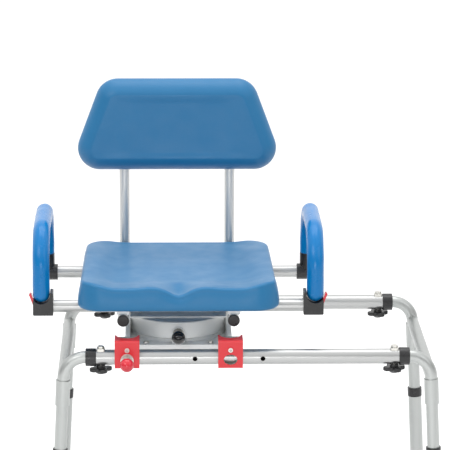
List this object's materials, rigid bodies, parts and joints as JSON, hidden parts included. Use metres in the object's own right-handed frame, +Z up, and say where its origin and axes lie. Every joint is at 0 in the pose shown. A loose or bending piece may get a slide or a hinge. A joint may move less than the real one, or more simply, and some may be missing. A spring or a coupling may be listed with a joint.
{
  "type": "bath transfer bench",
  "caption": "Padded swivel seat with backrest and flip-up arms on a carriage that slides along two rails over telescopic tube legs.",
  "frame": {"origin": "on the floor, below the middle of the whole object's box with the seat at the left end of its travel", "axes": "+X along the rails to the seated person's left, +Y from the front rail to the rear rail, so the seat faces -Y, +Z up"},
  "size_m": [0.8732, 0.5168, 0.9385],
  "materials": {
    "rail_aluminium": "satin anodised tube",
    "leg_aluminium": "satin anodised tube",
    "plate_aluminium": "brushed sheet",
    "red_sheet": "gloss powder coat",
    "red_plastic": "moulded, glossy",
    "black_plastic": "moulded, satin",
    "black_knob": "moulded, polished",
    "glide_nylon": "moulded nylon",
    "seat_foam": "integral skin foam, satin",
    "arm_foam": "foam sleeve, satin",
    "board": "moulded board",
    "foot_rubber": "moulded rubber",
    "zinc_steel": "zinc plated",
    "bright_steel": "polished"
  },
  "bodies": {
    "base": {"front_rail": "rail_aluminium", "rear_rail": "rail_aluminium", "left_leg_frame": "leg_aluminium", "right_leg_frame": "leg_aluminium", "rail_collars": "black_plastic", "rail_bolts": "zinc_steel", "saddle_washers": "zinc_steel", "button_springs": "zinc_steel"},
    "carriage": {"carriage_frame": "plate_aluminium", "front_rail_brackets": "red_sheet", "rear_rail_brackets": "red_sheet", "rail_glides": "glide_nylon", "carriage_screws": "zinc_steel", "turntable_base": "plate_aluminium", "bearing_balls": "bright_steel", "pivot_bolt_and_nut": "zinc_steel", "plunger_housings": "zinc_steel", "lock_springs": "zinc_steel"},
    "seat": {"turntable_drum": "plate_aluminium", "top_plate": "plate_aluminium", "backrest_frame": "rail_aluminium", "tube_end_caps": "black_plastic", "arm_tubes": "rail_aluminium", "seat_saddles": "plate_aluminium", "seat_board": "board", "seat_cushion": "seat_foam", "backrest_pad": "seat_foam", "backrest_board": "board", "seat_fasteners": "zinc_steel", "arm_cradles": "black_plastic"},
    "slide_lock": {"slide_lock_pin": "bright_steel", "slide_lock_knob": "red_plastic"},
    "swivel_lock": {"swivel_lock_pin": "bright_steel", "swivel_lock_knob": "black_knob"},
    "arm_left": {"arm_pad_left": "arm_foam", "arm_frame_left": "black_plastic"},
    "lever_left": {"release_lever_left": "red_plastic"},
    "arm_right": {"arm_pad_right": "arm_foam", "arm_frame_right": "black_plastic"},
    "lever_right": {"release_lever_right": "red_plastic"},
    "leg_front_left": {"lower_leg_front_left": "leg_aluminium", "leg_collar_front_left": "black_plastic", "rubber_foot_front_left": "foot_rubber"},
    "button_front_left": {"snap_button_front_left": "bright_steel"},
    "knob_front_left": {"star_knob_front_left": "black_plastic"},
    "leg_rear_left": {"lower_leg_rear_left": "leg_aluminium", "leg_collar_rear_left": "black_plastic", "rubber_foot_rear_left": "foot_rubber"},
    "button_rear_left": {"snap_button_rear_left": "bright_steel"},
    "knob_rear_left": {"star_knob_rear_left": "black_plastic"},
    "leg_front_right": {"lower_leg_front_right": "leg_aluminium", "leg_collar_front_right": "black_plastic", "rubber_foot_front_right": "foot_rubber"},
    "button_front_right": {"snap_button_front_right": "bright_steel"},
    "knob_front_right": {"star_knob_front_right": "black_plastic"},
    "leg_rear_right": {"lower_leg_rear_right": "leg_aluminium", "leg_collar_rear_right": "black_plastic", "rubber_foot_rear_right": "foot_rubber"},
    "button_rear_right": {"snap_button_rear_right": "bright_steel"},
    "knob_rear_right": {"star_knob_rear_right": "black_plastic"}
  },
  "joints": [
    {"name": "carriage_slide", "type": "slide", "parent": "base", "child": "carriage", "axis": [1, 0, 0], "range_m": [0, 0.28]},
    {"name": "seat_swivel", "type": "hinge", "parent": "carriage", "child": "seat", "pos_m": [-0.12614, 0.0238, 0.48], "axis": [0, 0, 1], "continuous": true},
    {"name": "slide_lock_engage", "type": "slide", "parent": "carriage", "child": "slide_lock", "axis": [0, 1, 0], "range_m": [0, 0.007]},
    {"name": "swivel_lock_engage", "type": "slide", "parent": "carriage", "child": "swivel_lock", "axis": [0, 1, 0], "range_m": [0, 0.007]},
    {"name": "arm_left_flip", "type": "hinge", "parent": "seat", "child": "arm_left", "pos_m": [-0.41114, 0.1618, 0.52], "axis": [-1, 0, 0], "range_deg": [0, 100]},
    {"name": "lever_left_release", "type": "hinge", "parent": "seat", "child": "lever_left", "pos_m": [-0.42364, -0.1142, 0.517], "axis": [0, -1, 0], "range_deg": [0, 20]},
    {"name": "arm_right_flip", "type": "hinge", "parent": "seat", "child": "arm_right", "pos_m": [0.15886, 0.1618, 0.52], "axis": [-1, 0, 0], "range_deg": [0, 100]},
    {"name": "lever_right_release", "type": "hinge", "parent": "seat", "child": "lever_right", "pos_m": [0.17136, -0.1142, 0.517], "axis": [0, 1, 0], "range_deg": [0, 20]},
    {"name": "leg_front_left_height", "type": "slide", "parent": "base", "child": "leg_front_left", "axis": [0.0523, 0, 0.9986], "range_m": [0, 0.0762], "stiffness_N_per_m": 20000, "springref_m": -0.012},
    {"name": "button_front_left_snap", "type": "slide", "parent": "base", "child": "button_front_left", "axis": [0.9986, 0, -0.0523], "range_m": [0, 0.0048]},
    {"name": "knob_front_left_turn", "type": "hinge", "parent": "base", "child": "knob_front_left", "pos_m": [-0.28714, -0.1852, 0.402], "axis": [0, 0, 1], "continuous": true},
    {"name": "leg_rear_left_height", "type": "slide", "parent": "base", "child": "leg_rear_left", "axis": [0.0523, 0, 0.9986], "range_m": [0, 0.0762], "stiffness_N_per_m": 20000, "springref_m": -0.012},
    {"name": "button_rear_left_snap", "type": "slide", "parent": "base", "child": "button_rear_left", "axis": [0.9986, 0, -0.0523], "range_m": [0, 0.0048]},
    {"name": "knob_rear_left_turn", "type": "hinge", "parent": "base", "child": "knob_rear_left", "pos_m": [-0.28714, 0.2328, 0.402], "axis": [0, 0, 1], "continuous": true},
    {"name": "leg_front_right_height", "type": "slide", "parent": "base", "child": "leg_front_right", "axis": [-0.0523, 0, 0.9986], "range_m": [0, 0.0762], "stiffness_N_per_m": 20000, "springref_m": -0.012},
    {"name": "button_front_right_snap", "type": "slide", "parent": "base", "child": "button_front_right", "axis": [-0.9986, 0, -0.0523], "range_m": [0, 0.0048]},
    {"name": "knob_front_right_turn", "type": "hinge", "parent": "base", "child": "knob_front_right", "pos_m": [0.31986, -0.1852, 0.402], "axis": [0, 0, 1], "continuous": true},
    {"name": "leg_rear_right_height", "type": "slide", "parent": "base", "child": "leg_rear_right", "axis": [-0.0523, 0, 0.9986], "range_m": [0, 0.0762], "stiffness_N_per_m": 20000, "springref_m": -0.012},
    {"name": "button_rear_right_snap", "type": "slide", "parent": "base", "child": "button_rear_right", "axis": [-0.9986, 0, -0.0523], "range_m": [0, 0.0048]},
    {"name": "knob_rear_right_turn", "type": "hinge", "parent": "base", "child": "knob_rear_right", "pos_m": [0.31986, 0.2328, 0.402], "axis": [0, 0, 1], "continuous": true}
  ]
}
